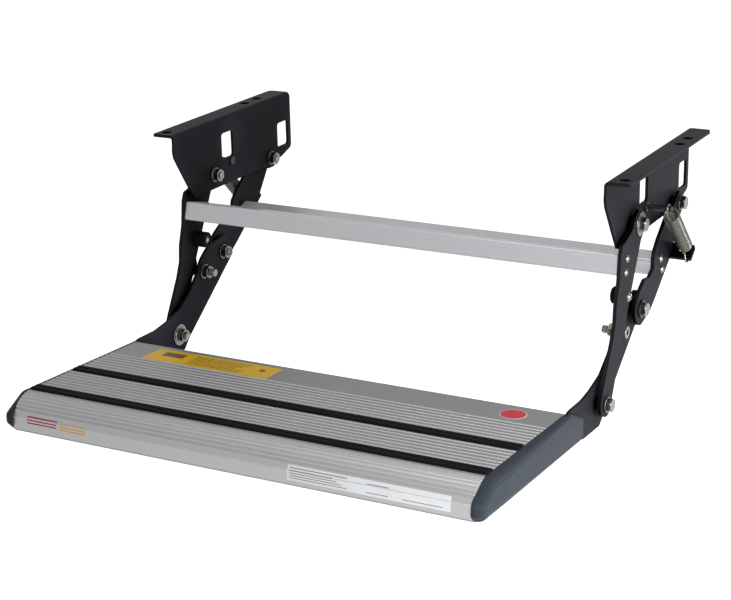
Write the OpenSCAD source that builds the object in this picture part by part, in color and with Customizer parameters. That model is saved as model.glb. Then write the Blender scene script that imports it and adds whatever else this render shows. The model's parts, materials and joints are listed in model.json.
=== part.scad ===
// Folding entry step for a caravan door. A ribbed aluminium tread hangs from two mount
// brackets by a four-bar linkage on each side: front arm, tread bracket, rear arm, mount plate.
// A coil spring on each side pulls the rear arm past its dead centre, out or folded away.
// Millimetres. X runs across the step, Y towards the vehicle, Z up. The origin is the centre of
// the outer flange holes, on the flanges' top face. The step is drawn pulled out, with no load.

/* [Tread] */
// Length of the tread extrusion between its brackets
tread_len = 500; // [460:5:540]
// Depth of the tread from its rear top edge to the foot of its nose
tread_depth = 213.5; // [210:0.5:217]
// Thickness of the tread
tread_thick = 35; // [33:0.5:37]
// Wall of the tread extrusion
tread_wall = 2.2; // [1.8:0.1:2.6]
// Spacing of the ribs on the tread's top
rib_pitch = 7.6; // [6.4:0.2:9]
// Width of each rubber grip strip
strip_w = 15; // [13:0.5:16]

/* [Mount brackets] */
// Length of the flange from front to rear
flange_len = 252; // [248:1:258]
// Reach of the flange outside the mount plate's inner face
flange_reach = 27.6; // [26:0.1:34]
// Depth of the mount plate below the flange's top face
plate_depth = 78.5; // [76:0.5:82]
// Thickness of the mount plates and tread brackets
plate_t = 3.2; // [2.8:0.1:3.4]
// Distance of the flange holes outside the plate's inner face
hole_out = 17; // [15:0.5:18]
// Diameter of the flange holes
hole_d = 11; // [9:0.5:12]

/* [Linkage] */
// Length of the front arm between its pivots
front_arm_len = 187.4; // [186:0.2:189]
// Length of the rear arm between its pivots
rear_arm_len = 143.6; // [143:0.2:145]
// Distance between the two pivots on the tread bracket
tread_link_len = 120.8; // [120:0.2:122]
// Thickness of the arms
arm_t = 4; // [3:0.1:4.5]

/* [Fasteners] */
// Diameter of the pivot bolts
bolt_d = 8; // [6:0.5:9]
// Width across the flats of the bolt heads and nuts
hex_af = 13; // [11:0.5:14]
// Diameter of the wide washers
wide_washer_d = 25; // [20:0.5:26]

/* [Springs] */
// Outside diameter of the spring's coil
spring_d = 17; // [15:0.5:17.5]
// Diameter of the spring's wire
wire_d = 2; // [1.6:0.1:2.4]
// Number of turns in the coil
spring_turns = 24; // [16:1:28]

/* [Fits] */
// Radial play of a pivot in its bore
run_play = 0.05; // [0.03:0.01:0.08]
// Side play between an arm and the piece beside it
side_play = 0.15; // [0.1:0.05:0.25]
// Gap between an arm and its stop
stop_gap = 0.3; // [0.2:0.1:0.5]

/* [Hidden] */
$fn = 48;

// Colours
powder_black = [0.09, 0.09, 0.10];
silver = [0.78, 0.79, 0.81];
zinc = [0.70, 0.71, 0.70];
dark_steel = [0.20, 0.20, 0.21];
spring_steel = [0.36, 0.36, 0.32];
rubber_black = [0.05, 0.05, 0.05];
cap_grey = [0.28, 0.32, 0.38];

// Planes of the right side, measured outwards along X
plate_in = tread_len / 2;
plate_out = plate_in + plate_t;
arm_in = plate_in + 7;
arm_out = arm_in + arm_t;
washer_t = 1.6;
head_in = arm_out + side_play + washer_t;
head_h = 5.3;
nut_h = 6.5;
nut_out = plate_in - washer_t;
bolt_r = bolt_d / 2;
bore_r = bolt_r + run_play;
washer_r = 8.3;
spring_x = plate_in + 27.5;
wire_r = wire_d / 2;
coil_r = (spring_d - wire_d) / 2;
hook_x = spring_x - coil_r + 0.6;

// Flange holes: Y places from the flange's front edge
front_hole = 12;
middle_hole = 176;
rear_hole = 204;
origin_u = (front_hole + rear_hole) / 2;

// Unit vector at an angle in the YZ plane
function heading(a) = [cos(a), sin(a)];
// A point given by its distances along and across a line
function beside(p, a, along, across) = p + along * heading(a) + across * heading(a + 90);
// A point of the mount plate, from the flange's front edge and the flange's top
function on_plate(u, v) = [u - origin_u, v];

// Linkage at rest: the rear arm and the tread bracket's pivots stand in one line
upper_front = on_plate(78.5, -62.1);
upper_rear = on_plate(203.3, -70.8);
base_len = norm(upper_rear - upper_front);
base_dir = atan2(upper_rear.y - upper_front.y, upper_rear.x - upper_front.x);
rear_reach = rear_arm_len + tread_link_len;
front_corner = acos((base_len ^ 2 + front_arm_len ^ 2 - rear_reach ^ 2)
    / (2 * base_len * front_arm_len));
front_dir = base_dir - front_corner;
lower_front = upper_front + front_arm_len * heading(front_dir);
line_dir = atan2(upper_rear.y - lower_front.y, upper_rear.x - lower_front.x);
lower_rear = lower_front + tread_link_len * heading(line_dir);
rear_dir = line_dir - 180;

// Tread frame: origin at the middle of the tread's rear top edge, Y along its top
link_dir = 39.22;
tread_tilt = line_dir - link_dir;
lower_front_t = [84.7, -14.7];
tread_origin = lower_front - beside([0, 0], tread_tilt, lower_front_t.x, lower_front_t.y);
// A point of the tread bracket, from the line between its two pivots
function on_link(along, across) = beside(lower_front_t, link_dir, along, across);

// Stop bolt beside the front arm's rear edge, in the front arm's frame
stop_head_r = 6.5;
stop_from_low = 78.4;
stop_along = front_arm_len - stop_from_low;
arm_stop_edge = 15;
stop_at = beside(upper_front, front_dir, stop_along, arm_stop_edge + stop_gap + stop_head_r);

// Spring anchors
spring_pin_at = on_plate(116, -54);
spring_pin_r = 3;
ear_along = 45;
ear_len = 19;
ear_from = 8;
ear_across = 25;
ear_at = beside(upper_rear, rear_dir, ear_along, ear_across);
spring_len = norm(ear_at - spring_pin_at);
spring_dir = atan2(ear_at.y - spring_pin_at.y, ear_at.x - spring_pin_at.x);

// Cross tubes, in the frames of their arms
front_tube = [30, 21];
front_tube_at = [47.6, -18.4];
front_tube_turn = 103.6;
rear_tube = [20, 20];
rear_tube_at = [76.4, 10.2];
rear_tube_turn = 162;
rivet_spacing = 14;
rivet_r = 2.4;

// Bumper, in the front arm's frame
bumper_from_low = 112.4;
bumper_at = [front_arm_len - bumper_from_low, 5.7];
bumper_r = 9;
bumper_screw_r = 3;
bumper_nut_r = 4.5;

// Rounding of an outline given as [y, z, radius] corners
corner_steps = 5;
function flat(p) = [p[0], p[1]];
function round_corner(a, b, c, r) =
    let (u = (a - b) / norm(a - b), v = (c - b) / norm(c - b))
    let (half = acos(max(-1, min(1, u * v))) / 2)
    half > 88 || r <= 0 ? [b] :
    let (reach = min(r / tan(half), 0.48 * norm(a - b), 0.48 * norm(c - b)))
    let (mid = b + (u + v) / norm(u + v) * reach / cos(half))
    let (s = b + u * reach - mid, e = b + v * reach - mid)
    let (turn = atan2(cross(s, e), s * e), from = atan2(s.y, s.x))
    [for (i = [0:corner_steps]) mid + norm(s) * heading(from + turn * i / corner_steps)];
function rounded(pts) =
    let (n = len(pts))
    [for (i = [0:n - 1]) each round_corner(
        flat(pts[(i + n - 1) % n]), flat(pts[i]), flat(pts[(i + 1) % n]), pts[i][2])];

// Outline of the mount plate, below the bend
mount_outline = [for (p = [
    [0, -6, 0], [0, -12, 8], [-1, -18, 20], [1, -26, 12], [20, -55, 30], [36, -plate_depth, 3],
    [189, -plate_depth, 6], [196, -plate_depth - 4, 8], [211, -plate_depth - 4, 8],
    [218, -76.5, 8], [230, -74, 12], [flange_len, -67, 6], [flange_len, -6, 0]])
    [p[0] - origin_u, p[1], p[2]]];

// Outline of the front arm, along and across the line between its pivots
arm_end = front_arm_len;
front_arm_outline = [
    [-14, -14, 14], [-14, 14, 14], [6, 14, 6], [14, 10.5, 8], [stop_along - 12, 10.3, 5],
    [stop_along - 7, arm_stop_edge, 2.5], [stop_along + 4, arm_stop_edge, 2.5],
    [stop_along + 9, 11.5, 5], [arm_end - 14, 13, 20],
    [arm_end + 12.5, 15, 14], [arm_end + 12.5, -17, 14], [arm_end - 20, -17, 30], [126, -16, 16],
    [108, -17.5, 16], [90, -25, 12], [68, -29, 16], [42, -39, 4], [32, -40, 4], [26, -33, 6],
    [12, -20, 16]
];

// Outline of the rear arm, in the same way
rear_end = rear_arm_len;
rear_arm_outline = [
    [-12.5, -12.5, 12], [-12.5, 12.5, 12], [6, 12.5, 8], [36, 21.7, 10], [52, 27, 8],
    [111, 26, 10], [128, 24.6, 16], [rear_end + 16.5, 12, 14], [rear_end + 16.5, -18.5, 15],
    [rear_end - 11, -19, 14], [118, -17, 6], [108, -7, 4], [95, -5, 4], [88, -13.5, 4],
    [82, -18, 8], [67, -20, 14], [38, -20, 12], [14, -12.5, 16]
];

// A point beside the stop bolt, along and across the front arm from it, in the tread frame
function to_tread(p) = let (d = p - tread_origin)
    [d * heading(tread_tilt), d * heading(tread_tilt + 90)];
function near_stop(along, across) = to_tread(beside(stop_at, front_dir, along, across));

// Outline of the tread bracket in the tread frame
function with_r(p, r) = [p[0], p[1], r];
bracket_front = 43.5 - tread_depth;
bracket_top = -2.4;
tread_bracket_outline = [
    [bracket_front, bracket_top, 4], [-4, bracket_top, 8], [6, 1.2, 20], [38, 2, 40],
    [60, 6, 20], with_r(on_link(20, 21), 12), with_r(on_link(48, 19.5), 16),
    with_r(on_link(66, 23), 14), with_r(near_stop(-11, -11.7), 10),
    with_r(near_stop(-26.1, -3.9), 12),
    with_r(on_link(tread_link_len + 2, 18.5), 8), with_r(on_link(tread_link_len + 17, 11), 10),
    with_r(on_link(tread_link_len + 19, -19), 18), with_r(on_link(11, -19), 10), [96, -33, 6],
    [88, -39.7, 6], [42, -39.7, 6], [30, 1 - tread_thick, 12], [bracket_front, 1 - tread_thick, 4]
];

// Outline of the end cap in the tread frame. Its roof covers the bracket's top edge
cap_top = 0;
cap_front = -tread_depth - 3;
cap_outline = [
    [4, cap_top, 6], [35.5, -13, 5], [38, -tread_thick - 2.5, 5],
    [cap_front + 9, -tread_thick - 1.5, 9], [cap_front, -28, 6], [cap_front, -16, 9],
    [cap_front + 28, cap_top, 14]
];
cap_roof = 2.2;
cap_roof_back = -6;
cap_bulge = 11.2;
cap_bulge_len = 60;
cap_out = arm_in - 0.4;
cap_nose_back = bracket_front - 1;

// Tread extrusion in its own frame
nose_r = 28;
nose_sweep = 70;
nose_back = -tread_depth + 1 + nose_r * sin(nose_sweep);
front_strip_y = 36.1 - tread_depth;
rear_strip_y = -107.9;
strip_channel = strip_w + 0.4;
channel_depth = 2.6;
rib_h = 0.8;
smooth_band = 46;
port_r = 4.4;
port_hole_r = 2.45;
port_z = -tread_thick / 2;
port_ys = [-22, -64, 77.5 - tread_depth];
nose_web = 20.5 - tread_depth;
webs = [-1.1, -42, -88, each [for (i = [1:3]) -88 + (nose_web + 88) * i / 3]];

// Shared placing modules

// Extrudes a YZ outline from one X place to another
module across_x(x0, x1)
    translate([x0, 0, 0]) rotate([90, 0, 90]) linear_extrude(x1 - x0) children();

// A round bar along X
module bar_x(x0, x1, r)
    translate([x0, 0, 0]) rotate([0, 90, 0]) cylinder(h = x1 - x0, r = r);

// A hexagonal bar along X, by its width across flats
module hex_x(x0, x1, af)
    translate([x0, 0, 0]) rotate([0, 90, 0]) cylinder(h = x1 - x0, r = af / 2 / cos(30), $fn = 6);

// Moves a child to a point of the YZ plane and turns it there
module placed(p, turn = 0) translate([0, p.x, p.y]) rotate([turn, 0, 0]) children();

module in_front_arm() placed(upper_front, front_dir) children();
module in_rear_arm() placed(upper_rear, rear_dir) children();
module in_tread() placed(tread_origin, tread_tilt) children();

// The left piece is the right one mirrored
module left_side() mirror([1, 0, 0]) children();
module both_sides() {
    children();
    left_side() children();
}

// A shallow dome on a flat face, along X
module dome_x(x0, r, h) {
    ball = (r ^ 2 + h ^ 2) / (2 * h);
    lift = ball - h;
    low = asin(lift / ball);
    translate([x0, 0, 0]) rotate([0, 90, 0]) rotate_extrude()
        polygon(concat([[0, 0]],
            [for (i = [0:6]) let (a = low + (90 - low) * i / 6)
                [max(0, ball * cos(a)), ball * sin(a) - lift]]));
}

module ring_x(x0, x1, r_out, r_in) difference() {
    bar_x(x0, x1, r_out);
    bar_x(x0 - 1, x1 + 1, r_in);
}

module hex_bolt(tip) {
    bar_x(tip, head_in + 0.5, bolt_r);
    intersection() {
        hex_x(head_in, head_in + head_h, hex_af);
        translate([head_in, 0, 0]) rotate([0, 90, 0])
            cylinder(h = head_h, r1 = hex_af / 2 + 4, r2 = hex_af / 2 + 0.2);
    }
}

module hex_nut() difference() {
    hex_x(nut_out - nut_h, nut_out, hex_af);
    bar_x(nut_out - nut_h - 1, nut_out + 1, bore_r);
}

module outer_washer(r) ring_x(head_in - washer_t, head_in, r, bore_r);
module inner_washer(r) ring_x(nut_out, plate_in, r, bore_r);
// A wide washer is thinner outside its raised inner ring
rim_t = 0.9;
module outer_cup_washer(r) {
    outer_washer(0.74 * r);
    ring_x(head_in - washer_t, head_in - washer_t + rim_t, r, bore_r);
}
module inner_cup_washer(r) {
    inner_washer(0.74 * r);
    ring_x(plate_in - rim_t, plate_in, r, bore_r);
}
module bush() ring_x(plate_out, arm_in - side_play, bolt_r + 3, bore_r);

// Mount brackets

module mount_bracket() {
    bend_in = 2;
    bend_out = bend_in + plate_t;
    far = plate_in + flange_reach;
    difference() {
        union() {
            across_x(plate_in, plate_out) polygon(rounded(mount_outline));
            // The bend, as a strip of tube wall
            translate([plate_in + bend_out, flange_len - origin_u, -bend_out])
                rotate([90, 0, 0]) linear_extrude(flange_len) difference() {
                    intersection() {
                        circle(bend_out);
                        translate([-bend_out, 0]) square(bend_out);
                    }
                    circle(bend_in);
                }
            translate([plate_in, -origin_u, -10]) cube([plate_t, flange_len, 10 - bend_out]);
            translate([0, 0, -plate_t]) linear_extrude(plate_t) polygon(rounded([
                [plate_in + bend_out, -origin_u, 0], [far, -origin_u, 2],
                [far, flange_len - origin_u, 6], [plate_in + bend_out, flange_len - origin_u, 0]]));
        }
        for (u = [front_hole, middle_hole, rear_hole])
            translate([plate_in + hole_out, u - origin_u, -plate_t - 1])
                cylinder(h = plate_t + 2, d = hole_d);
        for (p = [upper_front, upper_rear]) placed(p) bar_x(plate_in - 1, plate_out + 1, bore_r);
        placed(spring_pin_at) bar_x(plate_in - 1, plate_out + 1, spring_pin_r + run_play);
        across_x(plate_in - 1, plate_out + 1) polygon(rounded(window(96, 120.5, -48.5, -18.5)));
        across_x(plate_in - 1, plate_out + 1) polygon(rounded(window(220.5, 245.5, -62, -32.5)));
    }
}
// Corners of a window cut in the mount plate
function window(u0, u1, v0, v1) = [for (p = [[u0, v0], [u1, v0], [u1, v1], [u0, v1]])
    [p[0] - origin_u, p[1], 3.5]];

module mount_bracket_right() color(powder_black) mount_bracket();
module mount_bracket_left() color(powder_black) left_side() mount_bracket();

// Upper pivots

upper_tip = nut_out - nut_h - 1.2;
module upper_front_bolts() color(zinc) both_sides() placed(upper_front) hex_bolt(upper_tip);
module upper_front_washers() color(zinc) both_sides() placed(upper_front) {
    outer_cup_washer(wide_washer_d / 2);
    inner_washer(washer_r);
}
module upper_front_nuts() color(zinc) both_sides() placed(upper_front) hex_nut();
module upper_rear_bolts() color(zinc) both_sides() placed(upper_rear) hex_bolt(upper_tip);
module upper_rear_washers() color(zinc) both_sides() placed(upper_rear) {
    outer_washer(washer_r);
    inner_washer(washer_r);
}
module upper_rear_nuts() color(zinc) both_sides() placed(upper_rear) hex_nut();
module upper_bushes() color(dark_steel) both_sides() for (p = [upper_front, upper_rear])
    placed(p) bush();

// Cross tubes: hollow extrusions with two screw ports, riveted between the arms

module cross_tube(size, turn) rotate([turn, 0, 0]) across_x(-arm_in, arm_in) difference() {
    polygon(rounded([for (s = [[-1, -1], [1, -1], [1, 1], [-1, 1]])
        [s.x * size.x / 2, s.y * size.y / 2, 2.5]]));
    difference() {
        polygon(rounded([for (s = [[-1, -1], [1, -1], [1, 1], [-1, 1]])
            [s.x * (size.x / 2 - 1.8), s.y * (size.y / 2 - 1.8), 1]]));
        for (s = [-1, 1]) translate([0, s * rivet_spacing / 2]) circle(rivet_r + 1.6);
        square([2, size.y], center = true);
    }
    for (s = [-1, 1]) translate([0, s * rivet_spacing / 2]) circle(rivet_r + run_play);
}

module tube_rivets(turn) rotate([turn, 0, 0]) for (s = [-1, 1])
    translate([0, 0, s * rivet_spacing / 2]) {
        dome_x(arm_out, 4.4, 2.2);
        bar_x(arm_in - 8, arm_out, rivet_r);
    }

module rivet_holes(turn) rotate([turn, 0, 0]) for (s = [-1, 1])
    translate([0, 0, s * rivet_spacing / 2]) bar_x(arm_in - 1, arm_out + 1, rivet_r + run_play);

// Front arms

module front_arm() in_front_arm() difference() {
    across_x(arm_in, arm_out) polygon(rounded(front_arm_outline));
    bar_x(arm_in - 1, arm_out + 1, bore_r);
    placed([front_arm_len, 0]) bar_x(arm_in - 1, arm_out + 1, bore_r);
    placed(bumper_at) bar_x(arm_in - 1, arm_out + 1, bumper_screw_r + run_play);
    placed(front_tube_at) rivet_holes(front_tube_turn);
}

module front_arm_right() color(powder_black) front_arm();
module front_arm_left() color(powder_black) left_side() front_arm();
module front_cross_tube() color(silver) in_front_arm() placed(front_tube_at)
    cross_tube(front_tube, front_tube_turn);
module front_tube_rivets() color(zinc) both_sides() in_front_arm() placed(front_tube_at)
    tube_rivets(front_tube_turn);

bumper_in = arm_in - 13.5;
module bumpers() color(rubber_black) both_sides() in_front_arm() placed(bumper_at) difference() {
    union() {
        bar_x(bumper_in + 1.5, arm_in, bumper_r);
        translate([bumper_in, 0, 0]) rotate([0, 90, 0])
            cylinder(h = 1.5, r1 = bumper_r - 1.5, r2 = bumper_r);
    }
    bar_x(bumper_in - 1, arm_in + 1, bumper_screw_r + run_play);
    bar_x(bumper_in - 1, bumper_in + 3, bumper_nut_r + 0.3);
}
module bumper_screws() color(zinc) both_sides() in_front_arm() placed(bumper_at) {
    difference() {
        dome_x(arm_out, 5.4, 3.2);
        for (a = [45, 135]) rotate([a, 0, 0]) translate([arm_out + 1.4, -0.7, -3])
            cube([3, 1.4, 6]);
    }
    bar_x(bumper_in + 0.8, arm_out, bumper_screw_r);
    bar_x(bumper_in + 1.4, bumper_in + 3, bumper_nut_r);
}

// Tread

// Top of the tread from rear to nose, with raised ribs that have sloping flanks
function rib(y) = [[y + 1.2, 0], [y + 0.5, rib_h], [y - 0.5, rib_h], [y - 1.2, 0]];
function ribs(y0, y1) = [for (y = [y0 - 2:-rib_pitch:y1 + 1.5]) each rib(y)];
// A channel for a grip strip
function channel(y) = [[y + strip_channel / 2, 0], [y + strip_channel / 2, -channel_depth],
    [y - strip_channel / 2, -channel_depth], [y - strip_channel / 2, 0]];
// A point of the rounded nose, by its angle round it and its depth below the surface
function on_nose(a, depth) = [nose_back, -nose_r] + (nose_r - depth) * [-sin(a), cos(a)];
nose_flutes = 6;
flute_step = 9;
flute_depth = 0.9;
function flute(a) = [on_nose(a, 0), on_nose(a + 1.4, flute_depth), on_nose(a + 3.4, flute_depth),
    on_nose(a + 5, 0)];
nose_foot = on_nose(nose_sweep, 0);

tread_outline = concat(
    [[0, -1], [-1, 0]],
    ribs(-smooth_band, rear_strip_y + strip_channel / 2),
    channel(rear_strip_y),
    ribs(rear_strip_y - strip_channel / 2 - 1.6, front_strip_y + strip_channel / 2),
    channel(front_strip_y),
    [for (i = [0:nose_flutes - 1]) each flute(8 + flute_step * i)],
    [for (i = [1:3]) on_nose(58 + (nose_sweep - 58) * i / 3, 0)],
    [[-tread_depth, nose_foot.y - 0.5], [-tread_depth, 3 - tread_thick],
    [-tread_depth + 3, -tread_thick], [-1, -tread_thick], [0, 1 - tread_thick]]);

// Chambers between the webs; those under a channel have a lower ceiling
function is_under(y0, y1, y) = y0 > y - strip_channel / 2 && y1 < y + strip_channel / 2;
function ceiling(y0, y1) = is_under(y0, y1, front_strip_y) || is_under(y0, y1, rear_strip_y)
    ? -channel_depth - tread_wall : -tread_wall;
function chamber(y0, y1) = [
    [y0 - tread_wall / 2, ceiling(y0, y1), 2], [y1 + tread_wall / 2, ceiling(y0, y1), 2],
    [y1 + tread_wall / 2, tread_wall - tread_thick, 2],
    [y0 - tread_wall / 2, tread_wall - tread_thick, 2]];
nose_in = nose_r - tread_wall - flute_depth;
nose_chamber = concat(
    [for (a = [18, 30, 42, 54, 66])
        with_r([nose_back, -nose_r] + nose_in * [-sin(a), cos(a)], 0)],
    [[tread_wall - tread_depth, nose_foot.y - 2, 1],
    [tread_wall - tread_depth, tread_wall + 2 - tread_thick, 2],
    [tread_wall + 2 - tread_depth, tread_wall - tread_thick, 2],
    [webs[5] - tread_wall / 2, tread_wall - tread_thick, 2],
    [webs[5] - tread_wall / 2, -5, 1]]);

module tread_section() {
    difference() {
        polygon(tread_outline);
        for (i = [0:len(webs) - 2]) polygon(rounded(chamber(webs[i], webs[i + 1])));
        polygon(rounded(nose_chamber));
    }
    for (y = port_ys) difference() {
        union() {
            translate([y, port_z]) circle(port_r);
            translate([y - 1.2, 1 - tread_thick]) square([2.4, tread_thick / 2 - 3]);
        }
        translate([y, port_z]) circle(port_hole_r);
    }
}

module tread_extrusion() color(silver) in_tread() across_x(-plate_in, plate_in) tread_section();

// A grip strip fills its channel and stands proud, with a groove between two broad ribs
strip_proud = 2.2;
module grip_strip(y) in_tread() translate([0, y, 0]) across_x(0.1 - plate_in, plate_in - 0.1)
    polygon(rounded([
        [strip_w / 2, -channel_depth, 0], [strip_w / 2, 0.6, 0.5], [strip_w / 2 - 2, strip_proud, 1],
        [1.2, strip_proud, 0.4], [0.6, strip_proud - 1, 0.2], [-0.6, strip_proud - 1, 0.2],
        [-1.2, strip_proud, 0.4], [2 - strip_w / 2, strip_proud, 1], [-strip_w / 2, 0.6, 0.5],
        [-strip_w / 2, -channel_depth, 0]]));
module front_grip_strip() color(rubber_black) grip_strip(front_strip_y);
module rear_grip_strip() color(rubber_black) grip_strip(rear_strip_y);

// The cap is thickest at its nose, its outer edge is rounded in steps, and a pocket behind it
// takes the bracket
module cap_slab(reach, inset, y1) across_x(plate_in, plate_in + reach) intersection() {
    offset(delta = -inset) polygon(rounded(cap_outline));
    translate([cap_front, -tread_thick - 10]) square([y1 - cap_front, tread_thick + 20]);
}
module end_cap() in_tread() difference() {
    hull() {
        cap_slab(1, 0, 60);
        cap_slab(4, 0.5, 60);
        cap_slab(5.6, 1.4, 60);
        cap_slab(cap_out - plate_in, 3, 60);
        cap_slab(cap_bulge - 3.7, 2, cap_front + cap_bulge_len);
        cap_slab(cap_bulge - 1.2, 4.5, cap_front + cap_bulge_len);
        cap_slab(cap_bulge, 9, cap_front + cap_bulge_len);
    }
    translate([plate_in - 1, cap_nose_back, -tread_thick - 10])
        cube([plate_t + 1, cap_roof_back - cap_nose_back, tread_thick + 10 + cap_top - cap_roof]);
    translate([plate_in - 1, cap_roof_back, -tread_thick - 10])
        cube([plate_t + 1, 60, tread_thick + 20]);
}
module end_cap_right() color(cap_grey) end_cap();
module end_cap_left() color(cap_grey) left_side() end_cap();

screw_head_r = 4.6;
module bracket_screw() {
    bar_x(plate_in - 12, plate_out - 2, 2.4);
    translate([plate_out - 2.3, 0, 0]) rotate([0, 90, 0])
        cylinder(h = 2.2, r1 = 2.4, r2 = screw_head_r);
}
module bracket_screws() color(zinc) both_sides() in_tread() for (y = port_ys)
    placed([y, port_z]) bracket_screw();

module tread_bracket() difference() {
    in_tread() across_x(plate_in, plate_out) polygon(rounded(tread_bracket_outline));
    for (p = [lower_front, lower_rear, stop_at]) placed(p)
        bar_x(plate_in - 1, plate_out + 1, bore_r);
    in_tread() for (y = port_ys) placed([y, port_z]) {
        bar_x(plate_in - 1, plate_out + 1, 2.5);
        translate([plate_out - 2.3, 0, 0]) rotate([0, 90, 0])
            cylinder(h = 2.4, r1 = 2.5, r2 = screw_head_r + 0.3);
    }
}
module tread_bracket_right() color(powder_black) tread_bracket();
module tread_bracket_left() color(powder_black) left_side() tread_bracket();

// Lower front pivots, fixed to the tread brackets

lower_tip = nut_out - nut_h - 3.5;
module lower_front_bolts() color(zinc) both_sides() placed(lower_front) hex_bolt(lower_tip);
module lower_front_washers() color(zinc) both_sides() placed(lower_front) {
    outer_washer(washer_r);
    inner_cup_washer(wide_washer_d / 2 - 0.5);
}
module lower_front_nuts() color(zinc) both_sides() placed(lower_front) hex_nut();
module lower_front_bushes() color(dark_steel) both_sides() placed(lower_front) bush();

// Stop bolts: socket head screws whose heads stand in the arms' plane

stop_head_out = plate_out + 8.4;
module stop_bolts() color(zinc) both_sides() placed(stop_at) difference() {
    union() {
        bar_x(plate_out, stop_head_out - 0.6, stop_head_r);
        translate([stop_head_out - 0.6, 0, 0]) rotate([0, 90, 0])
            cylinder(h = 0.6, r1 = stop_head_r, r2 = stop_head_r - 0.6);
        bar_x(plate_in - 15.4, plate_out + 0.5, bolt_r);
    }
    hex_x(stop_head_out - 4, stop_head_out + 1, 6);
}
module stop_washers() color(zinc) both_sides() placed(stop_at) inner_washer(washer_r);
module stop_nuts() color(zinc) both_sides() placed(stop_at) hex_nut();

// Lower rear pivots: the loop of the linkage is opened here, so each bolt is drawn in two
// lengths, the head and shank with the rear arm, the threaded end and nut with the tread

module lower_rear_bolts() color(zinc) both_sides() placed(lower_rear)
    hex_bolt(plate_out + side_play);
module lower_rear_washers() color(dark_steel) both_sides() placed(lower_rear)
    outer_washer(washer_r + 1);
module lower_rear_bushes() color(dark_steel) both_sides() placed(lower_rear)
    ring_x(plate_out + side_play, arm_in, bolt_r + 3, bore_r);
module lower_rear_nuts() color(zinc) both_sides() placed(lower_rear) {
    hex_x(nut_out - nut_h, nut_out, hex_af);
    bar_x(upper_tip, plate_out, bolt_r);
}
module lower_rear_inner_washers() color(zinc) both_sides() placed(lower_rear)
    inner_washer(washer_r);

// Rear arms, each with an ear bent outwards for the spring's lower hook

ear_out = plate_in + 35;
ear_hole_r = 2.3;
module rear_arm() in_rear_arm() difference() {
    union() {
        across_x(arm_in, arm_out) polygon(rounded(rear_arm_outline));
        translate([0, ear_along - ear_from, ear_across - arm_t / 2]) linear_extrude(arm_t)
            polygon(rounded([[arm_in, 0, 0], [ear_out, 0, 3], [ear_out, ear_len, 1.5],
                [arm_in, ear_len, 0]]));
    }
    bar_x(arm_in - 1, arm_out + 1, bore_r);
    placed([rear_arm_len, 0]) bar_x(arm_in - 1, arm_out + 1, bore_r);
    placed(rear_tube_at) rivet_holes(rear_tube_turn);
    translate([hook_x, ear_along, ear_across - arm_t]) cylinder(h = 2 * arm_t, r = ear_hole_r);
}
module rear_arm_right() color(powder_black) rear_arm();
module rear_arm_left() color(powder_black) left_side() rear_arm();
module rear_cross_tube() color(silver) in_rear_arm() placed(rear_tube_at)
    cross_tube(rear_tube, rear_tube_turn);
module rear_tube_rivets() color(zinc) both_sides() in_rear_arm() placed(rear_tube_at)
    tube_rivets(rear_tube_turn);

// Springs and the pins that their upper eyes turn on

module spring_pins() color(dark_steel) both_sides() placed(spring_pin_at) {
    bar_x(plate_in - side_play, spring_x + 3.5, spring_pin_r);
    bar_x(plate_out + side_play, plate_out + 2, spring_pin_r + 1.8);
    dome_x(spring_x + 3.5, spring_pin_r, 0.8);
    bar_x(plate_in - side_play - 1.4, plate_in - side_play, spring_pin_r + 1.6);
}

// Middle line of the spring's wire: X as in the part, Z from the pin to the ear
eye_r = spring_pin_r + wire_r + 0.35;
coil_start = 12;
coil_end = spring_len - 13;
hook_r = 3.4;
hook_low = spring_len + 2.8;
turn_steps = 12;
coil_steps = spring_turns * turn_steps + turn_steps / 4;
wire_sides = 6;
wire_path = concat(
    [for (a = [-140:20:140]) [0, eye_r * sin(a), -eye_r * cos(a)]],
    [for (i = [0:coil_steps])
        let (a = 90 + 360 * i / turn_steps, t = i / coil_steps)
        [coil_r * cos(a), coil_r * sin(a), coil_start + (coil_end - coil_start) * t]],
    [[0.1 - coil_r, -0.26 * coil_r, coil_end + 1.2], [0.4 - coil_r, -0.24 * coil_r, coil_end + 3.2],
    [0.6 - coil_r, -0.1 * coil_r, coil_end + 5.5], [0.6 - coil_r, 0, coil_end + 8]],
    [for (a = [0:20:140]) [0.6 - coil_r, hook_r * cos(a) - hook_r, hook_low + hook_r * sin(a)]]);

function unit(v) = v / norm(v);
function run_of(path, i) = unit(path[min(i + 1, len(path) - 1)] - path[max(i - 1, 0)]);
function square_to(n, t) = unit(n - (n * t) * t);
function rings(path) = [for (
    i = 0, n = square_to([1, 0, 0], run_of(path, 0));
    i < len(path);
    i = i + 1, n = square_to(n, run_of(path, i)))
    [for (k = [0:wire_sides - 1]) let (b = cross(run_of(path, i), n), a = 360 * k / wire_sides)
        path[i] + wire_r * (cos(a) * n + sin(a) * b)]];

module wire(path) {
    n = len(path);
    m = wire_sides;
    polyhedron(
        points = [for (r = rings(path)) each r],
        faces = concat(
            [[for (k = [0:m - 1]) k]],
            [for (i = [0:n - 2], k = [0:m - 1])
                let (a = i * m + k, b = i * m + (k + 1) % m) each [[a, a + m, b], [b, a + m, b + m]]],
            [[for (k = [m - 1:-1:0]) (n - 1) * m + k]]));
}

// The path's Z runs from the pin to the ear and its Y across that line
module spring() placed(spring_pin_at, spring_dir - 90) translate([spring_x, 0, 0])
    wire(wire_path);
module spring_right() color(spring_steel) spring();
module spring_left() color(spring_steel) left_side() spring();

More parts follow.
